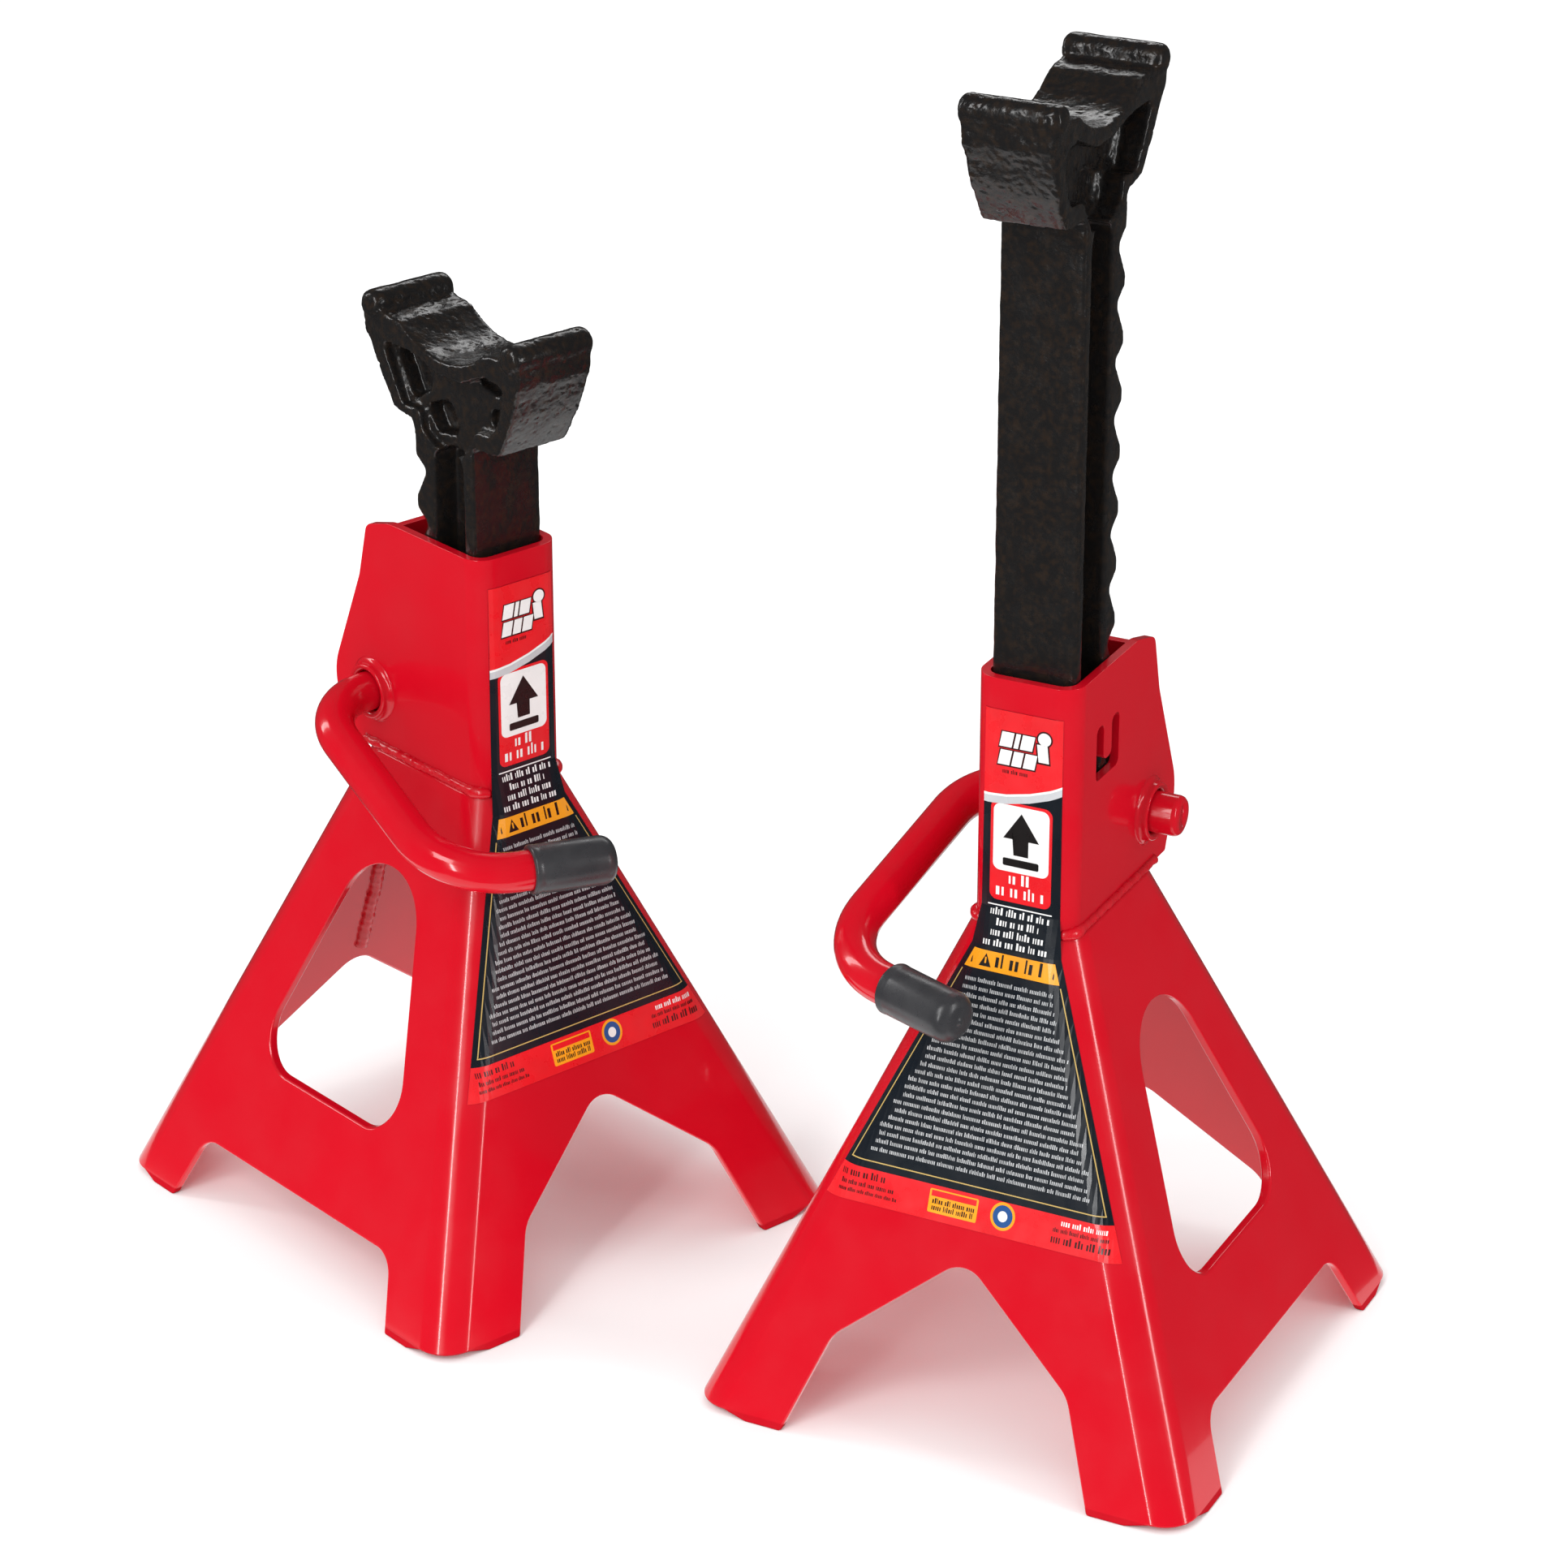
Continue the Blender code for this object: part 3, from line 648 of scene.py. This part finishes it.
def film_shapes():
    """Every printed area as (outline, ink, layer)."""
    rng = random.Random(7)
    shapes = []

    def put(ink, layer, *outlines):
        shapes.extend((outline, ink, layer) for outline in outlines)

    swoosh = [(-1.0, 192.6), (-0.4, 193.2), (0.2, 194.8), (0.7, 196.9), (1.0, 198.6)]
    edge = [(share * 12.1, z) for share, z in swoosh]
    put("red", 1, [(-12.0, DECAL_TOP)] + edge + [(12.0, DECAL_TOP)])
    put("silver", 2, edge + [(s, z - 3.0) for s, z in reversed(edge)])
    put("white", 3, edge + [(s, z - 0.7) for s, z in reversed(edge)])
    for low, high, bars in ((208.0, 212.6, ((-7.4, -3.6), (-3.0, -1.6), (-1.0, 2.8))),
                            (202.4, 207.0, ((-7.8, -4.2), (-3.6, -0.6), (0.0, 3.6)))):
        for s0, s1 in bars:
            put("dark", 2, leaning(s0 - 0.35, low - 0.5, s1 + 0.35, high + 0.3, 0.9))
            put("white", 3, leaning(s0, low, s1, high, 0.9))
    put("dark", 2, disc(6.6, 212.4, 2.5), leaning(4.4, 204.6, 8.6, 211.0, -0.6))
    put("white", 3, disc(6.6, 212.4, 2.0), leaning(4.9, 205.2, 8.1, 210.6, -0.6))
    put("dark", 2, *word_row(rng, -2.0, 4.2, 199.8, 1.0, 2.6))

    put("red", 1, soft_rect(-9.6, 159.6, 9.6, 191.0, 2.4))
    put("white", 2, soft_rect(-8.7, 169.2, 8.7, 190.1, 2.2))
    arrow = [(-5.6, 179.6), (-2.3, 179.6), (-2.3, 174.6), (2.3, 174.6), (2.3, 179.6), (5.6, 179.6),
             (0.0, 188.0)]
    put("black", 3, arrow, soft_rect(-5.6, 171.0, 5.6, 173.4, 0.5))
    put("white", 2, *word_row(rng, 0.0, 3.6, 165.4, 2.5, 2.6))
    put("white", 2, *word_row(rng, 0.0, 7.6, 161.2, 2.7, 3.2))
    put("white", 1, rect(-10.0, 157.7, 10.0, 158.1))
    for i, half in enumerate((9.0, 6.8, 8.2, 10.2)):
        put("white", 1, *word_row(rng, 0.0, half, 155.0 - i * 3.0, 1.55, 3.4))
    put("amber", 1, zone(144.4, 139.0, 2.0))
    put("black", 2, [(-10.4, 140.0), (-6.6, 140.0), (-8.5, 143.6)])
    put("amber", 3, rect(-8.75, 140.9, -8.25, 142.6))
    put("black", 2, *word_row(rng, 2.0, 7.4, 140.3, 2.8, 3.0))
    put("gold", 1, *border_lines(138.2, 80.2, 1.7, 0.35))
    for i in range(TEXT_ROWS):
        z = TEXT_TOP - i * TEXT_PITCH
        half = (half_at(z) - 4.0) * rng.uniform(0.86, 1.0)
        put("grey", 1, *word_row(rng, 0.0, half, z, TEXT_HEIGHT, 6.5))
    put("red", 1, zone(78.2, DECAL_FOOT))
    put("amber", 2, soft_rect(-14.0, 70.6, 1.5, 77.2, 0.5))
    put("red", 3, rect(-13.4, 75.2, 0.9, 76.8))
    put("black", 3, *word_row(rng, -6.2, 6.6, 73.2, 1.1, 3.6))
    put("black", 3, *word_row(rng, -6.2, 6.6, 71.4, 1.1, 3.6))
    put("amber", 2, disc(9.5, 74.2, 3.9))
    put("blue", 3, disc(9.5, 74.2, 3.1))
    put("white", 4, disc(9.5, 74.2, 1.5))
    put("white", 2, *word_row(rng, 34.6, 7.0, 75.6, 1.2, 3.4))
    put("dark", 2, *word_row(rng, 33.8, 8.4, 73.6, 0.9, 2.8))
    put("dark", 2, *word_row(rng, 34.8, 9.6, 70.6, 1.6, 3.6))
    put("dark", 2, *word_row(rng, -35.6, 7.0, 75.2, 1.5, 3.4))
    put("dark", 2, *word_row(rng, -34.0, 8.2, 72.8, 1.0, 3.0))
    put("dark", 2, *word_row(rng, -33.4, 9.4, 70.8, 0.8, 2.6))
    return shapes


def fold(work):
    """Cuts flat outlines along the lines where the film bends."""
    lines = [((s * FOLD_STEP_S, 0, 0), (1, 0, 0)) for s in range(-32, 33)]
    lines += [((0, z, 0), (0, 1, 0)) for z in BEND_LINES]
    lines += [((0, FOLD_FOOT - FOLD_STEP_Z * i, 0), (0, 1, 0)) for i in range(1, 11)]
    for point, across in lines:
        everything = list(work.verts) + list(work.edges) + list(work.faces)
        bmesh.ops.bisect_plane(work, geom=everything, plane_co=point, plane_no=across, dist=0.001)


def laid(name, shapes, inks, thickness, off):
    """Flat (s, z) outlines laid on the metal and given a thickness."""
    work = bmesh.new()
    for outline, ink, layer in shapes:
        face = work.faces.new([work.verts.new((s, z, layer)) for s, z in outline])
        face.material_index = inks.index(ink)
    fold(work)
    for vertex in work.verts:
        s, z, layer = vertex.co
        vertex.co = decal_point(s, z, off + layer * INK_T)
    bmesh.ops.triangulate(work, faces=work.faces)
    for face in work.faces:
        face.normal_update()
        if face.normal.y > 0:
            face.normal_flip()
    mesh = bpy.data.meshes.new(name)
    work.to_mesh(mesh)
    work.free()
    for ink in inks:
        mesh.materials.append(MATERIALS[0][ink])
    return evaluated(mesh, ("SOLIDIFY", {"thickness": thickness, "offset": -1.0}))


# ---------------------------------------------------------------- materials

def add(tree, kind, inputs=(), **settings):
    """A new shader node, with each input given as a value or as a socket to link."""
    made = tree.nodes.new(kind)
    for key, value in settings.items():
        setattr(made, key, value)
    for key, value in dict(inputs).items():
        if isinstance(value, bpy.types.NodeSocket):
            tree.links.new(value, made.inputs[key])
        else:
            made.inputs[key].default_value = value
    return made


def noise_of(tree, place, scale, detail=3.0):
    """Solid noise at a scale."""
    return add(tree, "ShaderNodeTexNoise",
               {"Vector": place, "Scale": scale, "Detail": detail}).outputs["Fac"]


def spread(tree, value, low, high, to_low, to_high):
    """A value mapped from one range to another."""
    return add(tree, "ShaderNodeMapRange", {"Value": value, "From Min": low, "From Max": high,
                                            "To Min": to_low, "To Max": to_high}).outputs[0]


def blend_of(tree, share, first, second):
    """Two colours mixed by a share."""
    made = add(tree, "ShaderNodeMix", {0: share}, data_type="RGBA")
    for socket, value in ((made.inputs[6], first), (made.inputs[7], second)):
        if isinstance(value, bpy.types.NodeSocket):
            tree.links.new(value, socket)
        else:
            socket.default_value = (*value, 1.0)
    return made.outputs[2]


def surface(name, main, second, patch, rough, bumps, ridge_wear_and_highlight=None, **fixed):
    """A procedural finish: two colours in patches, varied roughness, layers of relief.

    patch is (scale, low, high) of the colour noise, rough is (scale, low, high) of the
    roughness, each bump is (scale, height in metres, strength), and the last colour, when
    given, is laid lighter where the surface turns outward sharply: wear on the ridges and a
    painted highlight along them.
    """
    material = bpy.data.materials.new(name)
    material.use_nodes = True
    tree = material.node_tree
    shader = tree.nodes["Principled BSDF"]
    place = add(tree, "ShaderNodeTexCoord").outputs["Object"]
    share = spread(tree, noise_of(tree, place, patch[0], 4.0), patch[1], patch[2], 0.0, 1.0)
    colour = blend_of(tree, share, main, second)
    # a lighter colour on sharp outward edges: wear on the ridges and a painted highlight along them
    if ridge_wear_and_highlight:
        edge = add(tree, "ShaderNodeNewGeometry").outputs["Pointiness"]
        grain = spread(tree, noise_of(tree, place, 300.0), 0.35, 0.65, -0.03, 0.03)
        total = add(tree, "ShaderNodeMath", {0: edge, 1: grain}, operation="ADD").outputs[0]
        colour = blend_of(tree, spread(tree, total, 0.54, 0.60, 0.0, 0.6), colour, ridge_wear_and_highlight)
    tree.links.new(colour, shader.inputs["Base Color"])
    tree.links.new(spread(tree, noise_of(tree, place, rough[0], 5.0), 0.3, 0.7, rough[1],
                          rough[2]), shader.inputs["Roughness"])
    normal = None
    for scale, height, strength in bumps:
        inputs = {"Height": noise_of(tree, place, scale, 4.0), "Strength": strength,
                  "Distance": height}
        if normal:
            inputs["Normal"] = normal
        normal = add(tree, "ShaderNodeBump", inputs).outputs["Normal"]
    if normal:
        tree.links.new(normal, shader.inputs["Normal"])
    for socket, value in fixed.items():
        shader.inputs[socket.replace("_", " ")].default_value = value
    material.diffuse_color = (*main, 1.0)
    return material


def make_materials():
    enamel_bumps = ((80.0, 0.0006, 0.06), (420.0, 0.00016, 0.06))
    gloss = {"Coat_Weight": 0.45, "Coat_Roughness": 0.05, "Specular_IOR_Level": 0.32}
    film = {"Coat_Weight": 0.25, "Coat_Roughness": 0.12}
    made = {
        "enamel": surface("red_enamel", ENAMEL, ENAMEL_DULL,
                          (26.0, 0.30, 0.80), (60.0, 0.14, 0.24), enamel_bumps, **gloss),
        "enamel_rod": surface("red_enamel_rod", ENAMEL, ENAMEL_DULL,
                              (40.0, 0.30, 0.80), (80.0, 0.12, 0.22),
                              ((140.0, 0.0005, 0.06), (600.0, 0.00016, 0.06)), **gloss),
        "weld": surface("painted_weld", (0.53, 0.0022, 0.0110), (0.45, 0.002, 0.009),
                        (220.0, 0.45, 0.75), (300.0, 0.20, 0.40),
                        ((420.0, 0.0006, 0.35), (1200.0, 0.0002, 0.25)), **gloss),
        "casting": surface("black_casting", (0.0085, 0.0078, 0.0078), (0.019, 0.012, 0.008),
                           (500.0, 0.45, 0.70), (150.0, 0.15, 0.33),
                           ((230.0, 0.0007, 0.30), (900.0, 0.00035, 0.40)),
                           # the lighter colour on the casting's ridges is wear and a painted
                           # highlight
                           ridge_wear_and_highlight=(0.026, 0.019, 0.016), Coat_Weight=0.30, Coat_Roughness=0.07,
                           Specular_IOR_Level=0.40),
        "pawl": surface("oiled_steel", (0.115, 0.108, 0.100), (0.052, 0.046, 0.041),
                        (140.0, 0.40, 0.65), (200.0, 0.28, 0.50),
                        ((500.0, 0.0003, 0.30),), Metallic=0.35),
        "vinyl": surface("grip_vinyl", (0.028, 0.028, 0.031), (0.037, 0.037, 0.040),
                         (120.0, 0.40, 0.65), (260.0, 0.24, 0.36),
                         ((180.0, 0.0005, 0.10), (1500.0, 0.0001, 0.20)), Specular_IOR_Level=0.60),
    }
    inks = {"navy": (0.0048, 0.0085, 0.014), "red": (0.72, 0.004, 0.010),
            "silver": (0.50, 0.51, 0.53), "white": (0.80, 0.80, 0.79), "dark": (0.045, 0.006, 0.006),
            "black": (0.010, 0.008, 0.008), "amber": (0.86, 0.33, 0.006), "gold": (0.52, 0.36, 0.11),
            "grey": (0.44, 0.45, 0.46), "blue": (0.010, 0.075, 0.26)}
    for name, tint in inks.items():
        soft = tuple(0.88 * part for part in tint)
        made[name] = surface("print_" + name, tint, soft, (70.0, 0.35, 0.70), (180.0, 0.24, 0.36),
                             ((300.0, 0.0002, 0.08),), **film)
    return made, list(inks)


# ---------------------------------------------------------------- assembly

def build_pieces():
    """Each piece once, as (name, mesh, materials, body, nodes it stands for, slot)."""
    made, inks = MATERIALS
    enamel = [made["enamel"]]
    film = laid("film", [(zone(DECAL_TOP, DECAL_FOOT), "navy", 0)], ["navy"], FILM_T, FILM_TOP)
    ink = laid("print", film_shapes(), inks, INK_T * 0.7, FILM_TOP)
    return [
        ("shell_left", base_half(-1), enamel, "frame", ["base_left_half"], "base_left_half"),
        ("shell_right", base_half(1), enamel, "frame", ["base_right_half"], "base_right_half"),
        ("seam_weld_front", seam_weld(-1), [made["weld"]], "frame", [], "base_left_half"),
        ("seam_weld_back", seam_weld(1), [made["weld"]], "frame", [], "base_left_half"),
        ("bent_column", column(), enamel, "frame", ["column"], "column"),
        ("collar_left", collar(-1), enamel, "frame", [], "column"),
        ("collar_right", collar(1), enamel, "frame", [], "column"),
        ("cross_plate", back_plate(), enamel, "frame", ["back_plate"], "back_plate"),
        ("neck_bead_left", weld_bead(-1), [made["weld"]], "frame", ["weld_bead_left"],
         "weld_bead_left"),
        ("neck_bead_right", weld_bead(1), [made["weld"]], "frame", ["weld_bead_right"],
         "weld_bead_right"),
        ("decal_film", film, [], "frame", ["decal"], "decal"),
        ("decal_print", ink, [], "frame", [], "decal"),
        ("cast_bar", ratchet_bar(), [made["casting"]], "bar", ["ratchet_bar"], "ratchet_bar"),
        ("bent_lever", lever(), [made["enamel_rod"]], "release", ["lever"], "lever"),
        ("sleeve_grip", grip(), [made["vinyl"]], "release", ["lever_grip"], "lever_grip"),
    ]


def place_piece(label, name, mesh, materials, body, stands_for, slot):
    """One piece set in its stand, riding its body and standing for its CAD nodes."""
    x, y, yaw, notches = STANDS[label]
    lift = notches * PITCH if body == "bar" else 0.0
    own = mesh.copy()
    own.name = f"{label}_{name}"
    place = Matrix.Translation((MM * x, MM * y, MM * lift))
    own.transform(place @ Matrix.Rotation(math.radians(yaw), 4, "Z") @ Matrix.Scale(MM, 4))
    for material in materials:
        own.materials.append(material)
    thing = bpy.data.objects.new(own.name, own)
    bpy.context.collection.objects.link(thing)
    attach(thing, f"{label}_{body}")
    if stands_for:
        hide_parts(*[f"{label}_{node}" for node in stands_for])


def finish_pawl(label):
    """The CAD catch keeps its shape and gets eased edges and its own metal."""
    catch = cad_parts[f"{label}_pawl"]
    for slot in catch.material_slots:
        slot.material = MATERIALS[0]["pawl"]
    ease = catch.modifiers.new("ease", "BEVEL")
    ease.width = 0.0005
    ease.segments = 3
    ease.limit_method = "ANGLE"
    ease.angle_limit = math.radians(35)


# ---------------------------------------------------------------- studio

def area_light(name, place, target, size, power):
    """A soft rectangular light aimed at a point."""
    light = bpy.data.lights.new(name, "AREA")
    light.shape = "RECTANGLE"
    light.size, light.size_y = size
    light.energy = power
    thing = bpy.data.objects.new(name, light)
    bpy.context.collection.objects.link(thing)
    thing.location = place
    aim = Vector(target) - Vector(place)
    thing.rotation_euler = aim.to_track_quat("-Z", "Y").to_euler()
    thing.visible_camera = False


def make_camera():
    """The camera, looking slightly down at both stands."""
    lens = bpy.data.cameras.new("camera")
    lens.lens = LENS
    lens.shift_y = LENS_SHIFT
    lens.clip_end = 20
    thing = bpy.data.objects.new("camera", lens)
    bpy.context.collection.objects.link(thing)
    thing.location = CAMERA_AT
    thing.rotation_euler = (math.pi / 2 - PITCH_DOWN, 0, 0)
    bpy.context.scene.camera = thing


def make_studio():
    """A white sky that is dim in reflections, a pale floor and the lights."""
    world = bpy.data.worlds.new("studio")
    world.use_nodes = True
    tree = world.node_tree
    back = tree.nodes["Background"]
    back.inputs["Color"].default_value = (1, 1, 1, 1)
    glossy = add(tree, "ShaderNodeLightPath").outputs["Is Glossy Ray"]
    tree.links.new(spread(tree, glossy, 0, 1, SKY, SKY_IN_GLOSS), back.inputs["Strength"])
    bpy.context.scene.world = world
    bpy.context.scene.view_settings.view_transform = "Standard"
    mesh = bpy.data.meshes.new("floor")
    half = FLOOR_HALF
    mesh.from_pydata([(-half, -half, 0), (half, -half, 0), (half, half, 0), (-half, half, 0)],
                     [], [(0, 1, 2, 3)])
    floor = bpy.data.objects.new("floor", mesh)
    bpy.context.collection.objects.link(floor)
    mesh.materials.append(surface("pale_floor", (0.94, 0.94, 0.94), (0.93, 0.93, 0.93),
                                  (3.0, 0.4, 0.6), (20.0, 0.5, 0.6), (),
                                  Specular_IOR_Level=0.0))
    floor.visible_glossy = False
    for light in LIGHTS:
        area_light(*light)


MATERIALS = make_materials()
make_camera()
make_studio()
for entry in build_pieces():
    for stand in STANDS:
        place_piece(stand, *entry)
for stand in STANDS:
    finish_pawl(stand)
